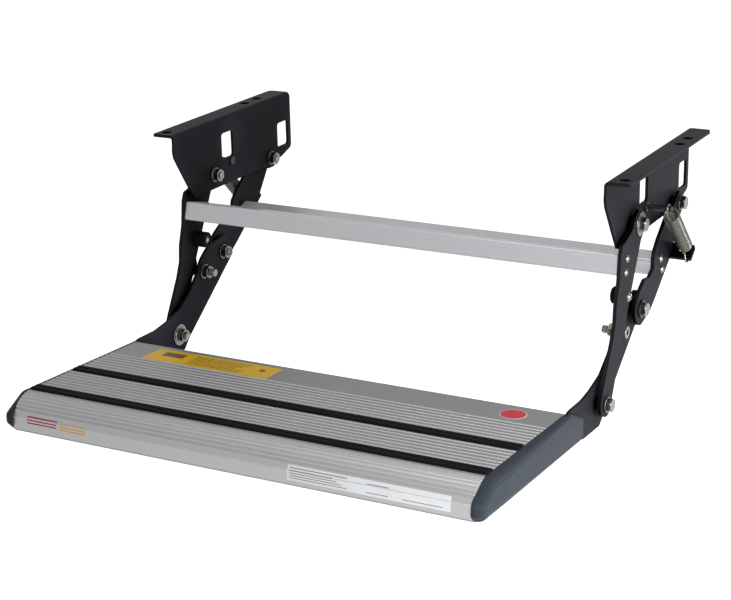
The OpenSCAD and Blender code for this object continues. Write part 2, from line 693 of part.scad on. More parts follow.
// Shown sub-parts
mount_bracket_left();
mount_bracket_right();
upper_front_bolts();
upper_front_washers();
upper_front_nuts();
upper_rear_bolts();
upper_rear_washers();
upper_rear_nuts();
upper_bushes();
front_arm_left();
front_arm_right();
front_cross_tube();
front_tube_rivets();
bumpers();
bumper_screws();
tread_extrusion();
front_grip_strip();
rear_grip_strip();
end_cap_left();
end_cap_right();
tread_bracket_left();
tread_bracket_right();
bracket_screws();
lower_front_bolts();
lower_front_washers();
lower_front_nuts();
lower_front_bushes();
stop_bolts();
stop_washers();
stop_nuts();
lower_rear_nuts();
lower_rear_inner_washers();
rear_arm_left();
rear_arm_right();
rear_cross_tube();
rear_tube_rivets();
lower_rear_bolts();
lower_rear_washers();
lower_rear_bushes();
spring_pins();
spring_left();
spring_right();
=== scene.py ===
# %% [markdown]
# # A folding caravan entry step, dressed for the camera
#
# The metal itself comes ready made: the CAD model is loaded as a fixed frame, and nothing in it
# is moved. This script adds the camera, a small studio, the finishes, and the pieces that are
# too fine for the CAD source: the wound springs, the bolts' threads and the printed fields.

# %% Load the frame
import bmesh
import bpy
import json
import math
from mathutils import Matrix, Vector

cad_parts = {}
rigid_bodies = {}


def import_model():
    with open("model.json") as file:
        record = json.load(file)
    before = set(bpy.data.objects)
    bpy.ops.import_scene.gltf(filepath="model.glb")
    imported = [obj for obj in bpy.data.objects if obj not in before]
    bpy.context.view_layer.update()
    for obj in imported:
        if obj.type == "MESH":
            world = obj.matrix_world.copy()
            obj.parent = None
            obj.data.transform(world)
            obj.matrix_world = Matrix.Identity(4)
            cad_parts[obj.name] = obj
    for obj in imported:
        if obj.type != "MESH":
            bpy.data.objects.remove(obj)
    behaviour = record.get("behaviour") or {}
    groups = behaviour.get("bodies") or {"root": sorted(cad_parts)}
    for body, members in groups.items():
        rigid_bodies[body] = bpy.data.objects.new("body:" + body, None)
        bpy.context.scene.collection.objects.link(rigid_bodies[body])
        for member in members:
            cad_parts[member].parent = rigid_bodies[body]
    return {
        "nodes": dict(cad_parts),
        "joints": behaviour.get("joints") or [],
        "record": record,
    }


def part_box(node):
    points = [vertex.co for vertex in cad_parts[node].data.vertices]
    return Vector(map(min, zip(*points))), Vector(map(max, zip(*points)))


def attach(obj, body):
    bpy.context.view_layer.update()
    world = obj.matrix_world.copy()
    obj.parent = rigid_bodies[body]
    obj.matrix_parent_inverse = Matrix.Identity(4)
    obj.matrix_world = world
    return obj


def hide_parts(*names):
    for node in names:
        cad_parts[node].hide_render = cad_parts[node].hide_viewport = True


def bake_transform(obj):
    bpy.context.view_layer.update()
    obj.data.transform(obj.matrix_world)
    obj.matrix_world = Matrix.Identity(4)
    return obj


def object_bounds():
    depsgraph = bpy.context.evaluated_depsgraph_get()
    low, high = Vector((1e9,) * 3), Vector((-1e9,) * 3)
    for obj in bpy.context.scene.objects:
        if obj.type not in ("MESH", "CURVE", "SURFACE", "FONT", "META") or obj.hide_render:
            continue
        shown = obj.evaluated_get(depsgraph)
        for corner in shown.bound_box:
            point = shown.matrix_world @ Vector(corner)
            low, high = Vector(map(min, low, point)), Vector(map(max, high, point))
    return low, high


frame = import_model()
cad_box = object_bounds()
nodes = frame["nodes"]
joints = {j["name"]: j for j in frame["joints"]}
print("CAD nodes:", len(nodes), "box:", [tuple(round(c, 4) for c in p) for p in cad_box])

# %% [markdown]
# The tread hangs a little nose down. Its own frame has its origin at the middle of the rear top
# edge, Y towards the vehicle along the top, Z out of the top. Every place on the tread is easier
# to give there, so one helper turns such a place into the row frame. Its angle comes from the
# pivots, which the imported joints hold, so it follows the CAD if a size changes.

# %% The tread's own frame
LINK_ANGLE = math.radians(39.22)
LOWER_FRONT_ON_TREAD = (0.0847, -0.0147)

lower_front = Vector(joints["tread_pivot"]["pos_m"])
upper_rear = Vector(joints["rear_arm_pivot"]["pos_m"])
upper_front = Vector(joints["front_arm_pivot"]["pos_m"])
link_line = upper_rear - lower_front
tread_tilt = math.atan2(link_line.z, link_line.y) - LINK_ANGLE
tread_turn = Matrix.Rotation(tread_tilt, 3, "X")
tread_origin = lower_front - tread_turn @ Vector((0, *LOWER_FRONT_ON_TREAD))


def on_tread(x, y, z):
    """A place given in the tread's frame, in metres, as a row-frame vector."""
    return tread_origin + tread_turn @ Vector((x, y, z))


print("tread tilt in degrees:", round(math.degrees(tread_tilt), 3))

# %% [markdown]
# The photograph was taken from the front right, a little above the tread, with a long lens. A
# camera can be matched by eye or by fitting known lengths. Here the numbers were fitted to the
# linkage and the tread's corners, so the render and the photograph lie on each other.

# %% The camera
CAMERA_AZIMUTH = math.radians(27.894)
CAMERA_ELEVATION = math.radians(15.770)
CAMERA_ROLL = math.radians(0.114)
CAMERA_PLACE = (0.85541, -1.55546, 0.58179)
FRAME_WIDTH_PX = 731
FOCAL_PX = 1818.27

forward = Vector((
    -math.sin(CAMERA_AZIMUTH) * math.cos(CAMERA_ELEVATION),
    math.cos(CAMERA_AZIMUTH) * math.cos(CAMERA_ELEVATION),
    -math.sin(CAMERA_ELEVATION)))
right = Vector((math.cos(CAMERA_AZIMUTH), math.sin(CAMERA_AZIMUTH), 0))
up = right.cross(forward)
rolled_right = right * math.cos(CAMERA_ROLL) + up * math.sin(CAMERA_ROLL)
rolled_up = rolled_right.cross(forward)
axes = Matrix((rolled_right, rolled_up, -forward)).transposed()

camera_data = bpy.data.cameras.new("step_camera")
camera_data.sensor_width = 36
camera_data.lens = FOCAL_PX * camera_data.sensor_width / FRAME_WIDTH_PX
camera_data.clip_start, camera_data.clip_end = 0.05, 50
camera = bpy.data.objects.new("step_camera", camera_data)
bpy.context.scene.collection.objects.link(camera)
camera.matrix_world = Matrix.Translation(on_tread(*CAMERA_PLACE)) @ (tread_turn @ axes).to_4x4()
bpy.context.scene.camera = camera
print("lens in mm:", round(camera_data.lens, 2),
      "camera at", tuple(round(c, 3) for c in camera.location))

# %% [markdown]
# A catalogue picture of bare metal is a picture of what the metal reflects. The room could be
# modelled with walls, but a plain world does the same with less: it gives a dim even light, and
# camera and mirror rays see it as white, so the background is white without any more light.

# %% The room
scene = bpy.context.scene
scene.view_settings.view_transform = "Standard"

WORLD_LEVEL = 0.22
SEEN_LEVEL = 1.0
PAPER = 0.86
COOL_WHITE = (0.97, 0.985, 1.0, 1)
WHITE = (1, 1, 1, 1)


def seen_directly(tree):
    """1 for rays of the camera and of mirror or glass reflections, 0 for the light itself."""
    path = tree.nodes.new("ShaderNodeLightPath")
    total = path.outputs["Is Camera Ray"]
    for other in ("Is Glossy Ray", "Is Transmission Ray"):
        node = tree.nodes.new("ShaderNodeMath")
        node.operation = "MAXIMUM"
        tree.links.new(total, node.inputs[0])
        tree.links.new(path.outputs[other], node.inputs[1])
        total = node.outputs[0]
    return total


world = bpy.data.worlds.new("pale_studio")
scene.world = world
world.use_nodes = True
tree = world.node_tree
tree.nodes.clear()
out = tree.nodes.new("ShaderNodeOutputWorld")
lit = tree.nodes.new("ShaderNodeBackground")
lit.inputs["Color"].default_value = COOL_WHITE
lit.inputs["Strength"].default_value = WORLD_LEVEL
seen = tree.nodes.new("ShaderNodeBackground")
seen.inputs["Color"].default_value = WHITE
seen.inputs["Strength"].default_value = SEEN_LEVEL
mix = tree.nodes.new("ShaderNodeMixShader")
tree.links.new(seen_directly(tree), mix.inputs["Fac"])
tree.links.new(lit.outputs[0], mix.inputs[1])
tree.links.new(seen.outputs[0], mix.inputs[2])
tree.links.new(mix.outputs[0], out.inputs["Surface"])
print("world:", world.name, "light", WORLD_LEVEL, "seen as", SEEN_LEVEL)

# %% [markdown]
# In the photograph the faces that look right are lighter than those that look left, the right
# linkage throws its shade on the left one, and the tread grows lighter towards the right. So one
# lamp stands near at the front right, one far away and low at the right, and one above.

# %% Three soft lamps
def soft_lamp(name, place, target, size, watts):
    """A rectangular area lamp that looks from its place at a target."""
    data = bpy.data.lights.new(name, "AREA")
    data.shape = "RECTANGLE"
    data.size, data.size_y = size
    data.energy = watts
    lamp = bpy.data.objects.new(name, data)
    scene.collection.objects.link(lamp)
    lamp.location = place
    lamp.rotation_mode = "QUATERNION"
    lamp.rotation_quaternion = (Vector(target) - Vector(place)).to_track_quat("-Z", "Y")


soft_lamp("front_lamp", (0.6, -0.9, 0.0), (0.15, -0.2, -0.15), (0.5, 0.5), 7.5)
soft_lamp("right_lamp", (3.0, -0.05, -0.07), (0.25, -0.02, -0.07), (0.25, 0.25), 128)
soft_lamp("top_lamp", (0.1, -0.1, 1.3), (0, -0.1, -0.1), (1.2, 1.2), 10.5)

# %% [markdown]
# A step hangs under a caravan's door, so the ground lies well below the tread. It is white paper.
# A little glow, for direct rays only, lifts it to the white of the background, and its diffuse
# part still takes the shadow.

# %% The ground
GROUND_DROP = 0.24
GROUND_REACH = 14
PAPER_ROUGHNESS = 0.9
WHITE_LEVEL = 1.01

ground_z = cad_box[0].z - GROUND_DROP
ground_mesh = bpy.data.meshes.new("ground")
ground_mesh.from_pydata(
    [(x * GROUND_REACH, y * GROUND_REACH, ground_z)
     for x, y in ((-1, -1), (1, -1), (1, 1), (-1, 1))], [], [(0, 1, 2, 3)])
ground = bpy.data.objects.new("ground", ground_mesh)
scene.collection.objects.link(ground)

paper = bpy.data.materials.new("ground_paper")
paper.use_nodes = True
tree = paper.node_tree
shade = tree.nodes["Principled BSDF"]
shade.inputs["Base Color"].default_value = (PAPER, PAPER, PAPER, 1)
shade.inputs["Roughness"].default_value = PAPER_ROUGHNESS
glow = tree.nodes.new("ShaderNodeEmission")
glow.inputs["Color"].default_value = WHITE
both = tree.nodes.new("ShaderNodeAddShader")
lift = tree.nodes.new("ShaderNodeMath")
lift.operation = "MULTIPLY"
lift.inputs[1].default_value = WHITE_LEVEL - PAPER * WORLD_LEVEL
tree.links.new(seen_directly(tree), lift.inputs[0])
tree.links.new(lift.outputs[0], glow.inputs["Strength"])
tree.links.new(shade.outputs[0], both.inputs[0])
tree.links.new(glow.outputs[0], both.inputs[1])
tree.links.new(both.outputs[0], tree.nodes["Material Output"].inputs["Surface"])
ground_mesh.materials.append(paper)
print("ground at z", round(ground_z, 4))

# %% [markdown]
# ## Effects that several finishes share
#
# Four effects come back in the finishes: a fine grain, lines drawn along the part by a die or a
# brush, edges that are a little rounded, rubbed and given a painted highlight, and painted shade
# in crevices. Each is one shader node group with named inputs, so a finish only says how much of
# it there is. The groups give masks, values and normals, and each material keeps its own shader.

# %% A helper for node groups
def new_group(name, inputs, outputs):
    """An empty shader group with sockets given as (name, socket type, default)."""
    group = bpy.data.node_groups.new(name, "ShaderNodeTree")
    for label, kind, value in inputs:
        socket = group.interface.new_socket(label, in_out="INPUT", socket_type=kind)
        if value is not None:
            socket.default_value = value
    for label, kind in outputs:
        group.interface.new_socket(label, in_out="OUTPUT", socket_type=kind)
    return group, group.nodes.new("NodeGroupInput"), group.nodes.new("NodeGroupOutput")


def add(tree, kind, **settings):
    """A new node with its properties, and its inputs given by name with _ for a space."""
    node = tree.nodes.new(kind)
    for key, value in settings.items():
        label = key.replace("_", " ")
        if hasattr(node, key):
            setattr(node, key, value)
        else:
            node.inputs[label].default_value = value
    return node


def maths(tree, kind, a, b):
    """A Math node; a and b are numbers or sockets."""
    node = tree.nodes.new("ShaderNodeMath")
    node.operation = kind
    for i, value in enumerate((a, b)):
        if isinstance(value, (int, float)):
            node.inputs[i].default_value = value
        else:
            tree.links.new(value, node.inputs[i])
    return node.outputs[0]


def spread(tree, value, low, high, to_low, to_high):
    """A value between low and high, carried to a value between to_low and to_high."""
    node = tree.nodes.new("ShaderNodeMapRange")
    for name, v in (("From Min", low), ("From Max", high),
                    ("To Min", to_low), ("To Max", to_high)):
        if isinstance(v, (int, float)):
            node.inputs[name].default_value = v
        else:
            tree.links.new(v, node.inputs[name])
    tree.links.new(value, node.inputs["Value"])
    return node.outputs["Result"]


# %% [markdown]
# Powder coat, moulded plastic and rubber are never quite even. A fine noise gives the grain that
# the light catches, and a broad one the slow clouds of tone. Object coordinates keep the grain
# the same size on every part.

# %% Fine grain: powder coat, moulded plastic, rubber
grain, g_in, g_out = new_group(
    "fine_grain",
    [("Grain per metre", "NodeSocketFloat", 900.0), ("Cloud per metre", "NodeSocketFloat", 9.0),
     ("Roughness", "NodeSocketFloat", 0.5), ("Roughness spread", "NodeSocketFloat", 0.08),
     ("Tone spread", "NodeSocketFloat", 0.1)],
    [("Height", "NodeSocketFloat"), ("Roughness", "NodeSocketFloat"), ("Tone", "NodeSocketFloat")])
place = add(grain, "ShaderNodeTexCoord")
fine = add(grain, "ShaderNodeTexNoise", Detail=3.0, Roughness=0.55)
cloud = add(grain, "ShaderNodeTexNoise", Detail=4.0, Roughness=0.6)
grain.links.new(place.outputs["Object"], fine.inputs["Vector"])
grain.links.new(place.outputs["Object"], cloud.inputs["Vector"])
grain.links.new(g_in.outputs["Grain per metre"], fine.inputs["Scale"])
grain.links.new(g_in.outputs["Cloud per metre"], cloud.inputs["Scale"])
grain.links.new(fine.outputs["Fac"], g_out.inputs["Height"])
both_noises = maths(grain, "ADD", maths(grain, "MULTIPLY", fine.outputs["Fac"], 0.4),
                    maths(grain, "MULTIPLY", cloud.outputs["Fac"], 0.6))
swing = maths(grain, "MULTIPLY", maths(grain, "SUBTRACT", both_noises, 0.5), 4.0)
grain.links.new(
    maths(grain, "ADD", g_in.outputs["Roughness"],
          maths(grain, "MULTIPLY", swing, g_in.outputs["Roughness spread"])),
    g_out.inputs["Roughness"])
grain.links.new(
    maths(grain, "ADD", 1.0, maths(grain, "MULTIPLY", swing, g_in.outputs["Tone spread"])),
    g_out.inputs["Tone"])
print("group:", grain.name, [s.name for s in grain.interface.items_tree])

# %% [markdown]
# An extrusion die leaves fine lines along the whole length of a profile. The same noise does it
# when its coordinates are pressed together along X, the way both tubes and the tread run.

# %% Drawn lines: what an extrusion die or a brush leaves along X
lines, g_in, g_out = new_group(
    "drawn_lines",
    [("Lines per metre", "NodeSocketFloat", 700.0), ("Stretch", "NodeSocketFloat", 0.004),
     ("Roughness", "NodeSocketFloat", 0.35), ("Roughness spread", "NodeSocketFloat", 0.1),
     ("Tone spread", "NodeSocketFloat", 0.06)],
    [("Height", "NodeSocketFloat"), ("Roughness", "NodeSocketFloat"), ("Tone", "NodeSocketFloat")])
place = add(lines, "ShaderNodeTexCoord")
along = add(lines, "ShaderNodeCombineXYZ", X=1.0, Y=1.0, Z=1.0)
lines.links.new(g_in.outputs["Stretch"], along.inputs["X"])
stretched = add(lines, "ShaderNodeVectorMath", operation="MULTIPLY")
lines.links.new(place.outputs["Object"], stretched.inputs[0])
lines.links.new(along.outputs[0], stretched.inputs[1])
drawn = add(lines, "ShaderNodeTexNoise", Detail=5.0, Roughness=0.7)
lines.links.new(stretched.outputs[0], drawn.inputs["Vector"])
lines.links.new(g_in.outputs["Lines per metre"], drawn.inputs["Scale"])
broad = add(lines, "ShaderNodeTexNoise", Scale=7.0, Detail=3.0)
lines.links.new(place.outputs["Object"], broad.inputs["Vector"])
swing = maths(lines, "MULTIPLY", maths(lines, "SUBTRACT", drawn.outputs["Fac"], 0.5), 3.0)
patch = maths(lines, "MULTIPLY", maths(lines, "SUBTRACT", broad.outputs["Fac"], 0.5), 2.0)
mixed = maths(lines, "ADD", maths(lines, "MULTIPLY", swing, 0.7),
              maths(lines, "MULTIPLY", patch, 0.5))
lines.links.new(drawn.outputs["Fac"], g_out.inputs["Height"])
lines.links.new(
    maths(lines, "ADD", g_in.outputs["Roughness"],
          maths(lines, "MULTIPLY", mixed, g_in.outputs["Roughness spread"])),
    g_out.inputs["Roughness"])
lines.links.new(
    maths(lines, "ADD", 1.0, maths(lines, "MULTIPLY", mixed, g_in.outputs["Tone spread"])),
    g_out.inputs["Tone"])
print("group:", lines.name, [s.name for s in lines.interface.items_tree])

# %% [markdown]
# Nothing made of sheet metal has a perfectly sharp edge. The Bevel node looks for the faces
# around a point and gives the normal of a rounded edge there, also on a mesh of loose triangles.
# Where that normal leaves the face's own, the point is on an edge: the mask for wear and a painted
# highlight.

# %% Rounded edges, with wear and a painted highlight
EDGE_RADIUS = 0.0007

edges, g_in, g_out = new_group(
    "worn_and_glinting_edges",
    [("Wear and glint", "NodeSocketFloat", 0.5), ("Patch per metre", "NodeSocketFloat", 60.0)],
    [("Normal", "NodeSocketVector"), ("Mask", "NodeSocketFloat")])
soft_edge = add(edges, "ShaderNodeBevel", samples=6)
soft_edge.inputs["Radius"].default_value = EDGE_RADIUS
surface = add(edges, "ShaderNodeNewGeometry")
agree = add(edges, "ShaderNodeVectorMath", operation="DOT_PRODUCT")
edges.links.new(soft_edge.outputs[0], agree.inputs[0])
edges.links.new(surface.outputs["Normal"], agree.inputs[1])
off_face = spread(edges, agree.outputs["Value"], 0.985, 0.8, 0.0, 1.0)
place = add(edges, "ShaderNodeTexCoord")
patches = add(edges, "ShaderNodeTexNoise", Detail=4.0)
edges.links.new(place.outputs["Object"], patches.inputs["Vector"])
edges.links.new(g_in.outputs["Patch per metre"], patches.inputs["Scale"])
broken = spread(edges, patches.outputs["Fac"], 0.42, 0.68, 0.0, 1.0)
edges.links.new(soft_edge.outputs[0], g_out.inputs["Normal"])
edges.links.new(
    maths(edges, "MULTIPLY", maths(edges, "MULTIPLY", off_face, broken), g_in.outputs["Wear and glint"]),
    g_out.inputs["Mask"])
print("group:", edges.name, "radius", EDGE_RADIUS)

# %% [markdown]
# Where plates lie close on each other and round every washer and nut, shade is painted into the
# base colour. Ambient occlusion, the share of a point's surroundings that is open, measures how
# closed a place is, and one group turns it into that painted shade.

# %% Painted shade in crevices
crevice_shade_group, g_in, g_out = new_group(
    "painted_crevice_shade",
    [("Reach", "NodeSocketFloat", 0.02), ("Darkest", "NodeSocketFloat", 0.3),
     ("Closed below", "NodeSocketFloat", 0.3), ("Open above", "NodeSocketFloat", 0.98)],
    [("Shade", "NodeSocketFloat")])
# Painted shade: where little of the surroundings is open, the base colour is darkened
open_share = add(crevice_shade_group, "ShaderNodeAmbientOcclusion", samples=8)
crevice_shade_group.links.new(g_in.outputs["Reach"], open_share.inputs["Distance"])
crevice_shade_group.links.new(
    spread(crevice_shade_group, open_share.outputs["AO"], g_in.outputs["Closed below"],
           g_in.outputs["Open above"], g_in.outputs["Darkest"], 1.0),
    g_out.inputs["Shade"])
print("group:", crevice_shade_group.name)

# %% [markdown]
# ## The finishes
#
# Each finish starts from one base colour. The surface group changes its tone and roughness a
# little, the edge group rounds the edges and mixes in a second colour there, for wear and a
# painted highlight.
# One helper wires this up, because the wiring is the same and only the values differ.

# %% A helper for finishes
def finish(name, colour, surface, surface_values, metal=0.0, edge_wear_and_glint=0.0, wear_and_glint_colour=None,
           bump=0.0, bump_distance=0.0002, rounded=True,
           reach=0.0, darkest=0.3, closed=0.3, open_at=0.98, **sockets):
    """A material from one colour, a surface group and its values; reach adds painted crevice
    shade.
    """
    material = bpy.data.materials.new(name)
    material.use_nodes = True
    material.diffuse_color = (*colour, 1)
    tree = material.node_tree
    shade = tree.nodes["Principled BSDF"]
    shade.inputs["Metallic"].default_value = metal
    for key, value in sockets.items():
        shade.inputs[key.replace("_", " ")].default_value = value
    effect = add(tree, "ShaderNodeGroup", node_tree=surface)
    for key, value in surface_values.items():
        effect.inputs[key].default_value = value
    toned = add(tree, "ShaderNodeVectorMath", operation="SCALE")
    toned.inputs[0].default_value = colour
    tone = effect.outputs["Tone"]
    # Painted shade: the crevice group darkens the base colour in close corners and gaps
    if reach:
        crevice_shade_node = add(tree, "ShaderNodeGroup", node_tree=crevice_shade_group)
        crevice_shade_node.inputs["Reach"].default_value = reach
        crevice_shade_node.inputs["Darkest"].default_value = darkest
        crevice_shade_node.inputs["Closed below"].default_value = closed
        crevice_shade_node.inputs["Open above"].default_value = open_at
        tone = maths(tree, "MULTIPLY", tone, crevice_shade_node.outputs["Shade"])
    tree.links.new(tone, toned.inputs["Scale"])
    tree.links.new(toned.outputs[0], shade.inputs["Base Color"])
    tree.links.new(effect.outputs["Roughness"], shade.inputs["Roughness"])
    normal = None
    if rounded:
        edge = add(tree, "ShaderNodeGroup", node_tree=edges)
        edge.inputs["Wear and glint"].default_value = edge_wear_and_glint
        normal = edge.outputs["Normal"]
        # The lighter edge colour is partly wear and partly a painted highlight along the edges
        if wear_and_glint_colour:
            wear_and_glint_mix = add(tree, "ShaderNodeMix", data_type="RGBA")
            wear_and_glint_mix.inputs[7].default_value = (*wear_and_glint_colour, 1)
            tree.links.new(edge.outputs["Mask"], wear_and_glint_mix.inputs[0])
            tree.links.new(toned.outputs[0], wear_and_glint_mix.inputs[6])
            tree.links.new(wear_and_glint_mix.outputs[2], shade.inputs["Base Color"])
    if bump:
        relief = add(tree, "ShaderNodeBump", Strength=bump, Distance=bump_distance)
        tree.links.new(effect.outputs["Height"], relief.inputs["Height"])
        if normal:
            tree.links.new(normal, relief.inputs["Normal"])
        normal = relief.outputs["Normal"]
    if normal:
        tree.links.new(normal, shade.inputs["Normal"])
    return material


# %% [markdown]
# The brackets and arms are steel plate with black powder coat: a satin, slightly bluish black
# that is worn to grey along cut edges, and that lighter edge colour is also a painted highlight.
# Its sheen is kept very low, because mirror rays see a white room here. Where plates lie close,
# painted shade from the crevice group turns it almost black, as it is in the photograph.

# %% Powder coat
powder_coat = finish(
    "black_powder_coat", (0.0122, 0.0129, 0.0152), grain,
    {"Grain per metre": 1100, "Roughness": 0.38, "Roughness spread": 0.06, "Tone spread": 0.1},
    edge_wear_and_glint=0.5, wear_and_glint_colour=(0.075, 0.075, 0.08), bump=0.2, bump_distance=0.0003,
    reach=0.06, darkest=0.03, closed=0.45, Specular_IOR_Level=0.011)
print("coat:", powder_coat.name)

# %% [markdown]
# The tread is an anodised aluminium extrusion, matt silver with die lines. The cross tubes are
# brighter and a little bluish. Both could be pure metal, but then they would only mirror the
# white room, so they are part metal, and a dark tint at glancing angles keeps the tread's top
# grey.

# %% The aluminium parts
anodised_tread = finish(
    "anodised_tread", (0.358, 0.358, 0.363), lines,
    {"Lines per metre": 900, "Roughness": 0.38, "Roughness spread": 0.05, "Tone spread": 0.05},
    metal=0.75, edge_wear_and_glint=0.3, wear_and_glint_colour=(0.62, 0.62, 0.63), bump=0.05,
    Specular_Tint=(0.12, 0.12, 0.12, 1), Specular_IOR_Level=0.2)
bright_tube = finish(
    "bright_tube", (0.46, 0.465, 0.48), lines,
    {"Lines per metre": 700, "Roughness": 0.3, "Roughness spread": 0.06, "Tone spread": 0.06},
    metal=0.4, edge_wear_and_glint=0.1, wear_and_glint_colour=(0.6, 0.6, 0.6), bump=0.05,
    Specular_Tint=(0.3, 0.3, 0.3, 1), Specular_IOR_Level=0.2)
print("aluminium:", anodised_tread.name, bright_tube.name)

# %% [markdown]
# Bolts, nuts, rivets and most washers are zinc plated. The wide washers of the upper front pivots
# have a greenish tone in the photograph, so they get a finish of their own. Bushes, the spring
# pins and the washers under the lower rear bolts are blackened steel, and the springs are bare
# drawn wire, with painted shade between the turns. The others get painted shade round nuts and
# washers, and their light edge colour is a painted glint as well as wear.

# %% Plated and bare steel
# Painted glints: the light edge colour on plated edges; painted shade: the crevice group round
# nuts
zinc_plate = finish(
    "zinc_plate", (0.2, 0.197, 0.175), grain,
    {"Grain per metre": 1500, "Cloud per metre": 60, "Roughness": 0.24,
     "Roughness spread": 0.06, "Tone spread": 0.14},
    metal=1.0, edge_wear_and_glint=0.9, wear_and_glint_colour=(0.62, 0.62, 0.58), bump=0.1, reach=0.01, darkest=0.06)
greenish_zinc = finish(
    "greenish_zinc", (0.25, 0.275, 0.235), grain,
    {"Grain per metre": 1500, "Cloud per metre": 90, "Roughness": 0.3,
     "Roughness spread": 0.06, "Tone spread": 0.14},
    metal=1.0, edge_wear_and_glint=0.4, wear_and_glint_colour=(0.5, 0.53, 0.46), bump=0.1, reach=0.008, darkest=0.15)
black_steel = finish(
    "blackened_steel", (0.03, 0.03, 0.032), grain,
    {"Grain per metre": 1500, "Cloud per metre": 50, "Roughness": 0.36,
     "Roughness spread": 0.08, "Tone spread": 0.2},
    metal=0.6, edge_wear_and_glint=0.6, wear_and_glint_colour=(0.2, 0.2, 0.2), bump=0.1, reach=0.01,
    Specular_IOR_Level=0.1)
# Painted shade between the turns: a hard crevice range darkens the valleys of the coil
spring_wire = finish(
    "drawn_spring_wire", (0.12, 0.117, 0.1), grain,
    {"Grain per metre": 2500, "Cloud per metre": 70, "Roughness": 0.32,
     "Roughness spread": 0.08, "Tone spread": 0.16},
    metal=0.9, bump=0.08, rounded=False, reach=0.003, darkest=0.02, closed=0.45, open_at=0.85)
print("steel:", [m.name for m in (zinc_plate, greenish_zinc, black_steel, spring_wire)])

# %% [markdown]
# The grip strips and bumpers are black rubber, which hardly shines. The end caps are moulded in
# a dark blue grey plastic with a fine grain.

# %% Rubber and plastic
strip_rubber = finish(
    "strip_rubber", (0.006, 0.006, 0.0065), grain,
    {"Grain per metre": 1600, "Roughness": 0.6, "Roughness spread": 0.08, "Tone spread": 0.15},
    edge_wear_and_glint=0.3, wear_and_glint_colour=(0.012, 0.012, 0.012), bump=0.3, Specular_IOR_Level=0.02)
cap_plastic = finish(
    "cap_plastic", (0.0185, 0.0232, 0.0298), grain,
    {"Grain per metre": 2200, "Roughness": 0.45, "Roughness spread": 0.05, "Tone spread": 0.06},
    edge_wear_and_glint=0.25, wear_and_glint_colour=(0.12, 0.14, 0.165), bump=0.15, Specular_IOR_Level=0.05)

print("soft parts:", strip_rubber.name, cap_plastic.name)

# %% [markdown]
# The CAD names a material slot for every node. One table carries the slots to the finishes, so
# no node is forgotten, and a second short one names the nodes that differ from their slot.

# %% Finishes on the CAD nodes
slot_finish = {
    "powder_black": powder_coat, "silver": bright_tube, "zinc": zinc_plate,
    "dark_steel": black_steel, "spring_steel": spring_wire,
    "rubber_black": strip_rubber, "cap_grey": cap_plastic}
special = {"tread_extrusion": anodised_tread, "upper_front_washers": greenish_zinc}
slot_of = {s["node"]: s["material_slot"] for s in frame["record"]["subparts"]}
for name, part in nodes.items():
    chosen = special.get(name, slot_finish[slot_of[name]])
    if not part.data.materials:
        part.data.materials.append(chosen)
    for i in range(len(part.data.materials)):
        part.data.materials[i] = chosen
used = set(slot_finish.values()) | set(special.values())
print("dressed nodes:", len(nodes), "finishes:", len(used))

# %% [markdown]
# ## The springs
#
# Each tension spring is one length of wire: an eye round a pin, a coil, and a hook that passes
# the ear of the rear arm and turns under its lower edge. A coil could be stacked from rings, but
# wire is one line. That line follows a rule, so its points are worked out here and a Geometry
# Nodes tree draws the wire along it, for both springs. The finished mesh runs from the pin to
# the ear in the row frame, on neither body.

# %% The middle line of the wire
WIRE_R = 0.001
DRAWN_WIRE_R = WIRE_R * 0.95
PIN_R = 0.003
EYE_PLAY = 0.00035
COIL_R = 0.0075
EYE_R = PIN_R + WIRE_R + EYE_PLAY
EYE_STEPS = 28
EYE_START, EYE_STEP = -140, 10
TURNS = 19
STEPS = 28
COIL_START = 0.012
COIL_TAIL = 0.013
SPRING_X = 0.2775

spring_axis = Vector(joints["spring_stretch"]["axis"])
pin = Vector(joints["spring_swing"]["pos_m"])
EAR_ALONG, EAR_ACROSS = 0.045, 0.025


def spring_line(length):
    """Eye and coil in the spring's own frame: Z from the pin to the ear, Y across that."""
    points = []
    for i in range(EYE_STEPS + 1):
        a = math.radians(EYE_START + EYE_STEP * i)
        points.append((0, EYE_R * math.sin(a), -EYE_R * math.cos(a)))
    coil_end = length - COIL_TAIL
    steps = TURNS * STEPS
    for i in range(steps + 1):
        a = math.radians(90) + 2 * math.pi * i / STEPS
        points.append((COIL_R * math.cos(a), COIL_R * math.sin(a),
                       COIL_START + (coil_end - COIL_START) * i / steps))
    points.append((-0.0004, COIL_R, coil_end + 0.0012))
    points.append((0.0002, COIL_R, coil_end + 0.003))
    return points


# The wire's last stretch: each point is X, the place along the rear arm and across it, in metres
HOOK_LINE = [(0.2782, 0.0530, 0.0190), (0.2786, 0.0550, 0.0208), (0.2790, 0.0566, 0.0224),
             (0.2795, 0.0576, 0.0240), (0.2799, 0.0580, 0.0256), (0.2802, 0.0577, 0.0273),
             (0.2803, 0.0565, 0.0286), (0.2803, 0.0545, 0.0291), (0.2803, 0.0525, 0.0289)]
print("wire: turns", TURNS, "hook points", len(HOOK_LINE))

# %% Where the spring hangs
rear_angle = math.atan2(link_line.z, link_line.y) + math.pi
rear_reach = Vector((0, math.cos(rear_angle), math.sin(rear_angle)))
across = Vector((0, -rear_reach.z, rear_reach.y))
ear = upper_rear + rear_reach * EAR_ALONG + across * EAR_ACROSS
spring_length = (ear - pin).length
side = Vector((0, spring_axis.z, -spring_axis.y))
print("spring length in mm:", round(spring_length * 1000, 2),
      "axis agrees:", round((ear - pin).normalized().dot(spring_axis), 5))

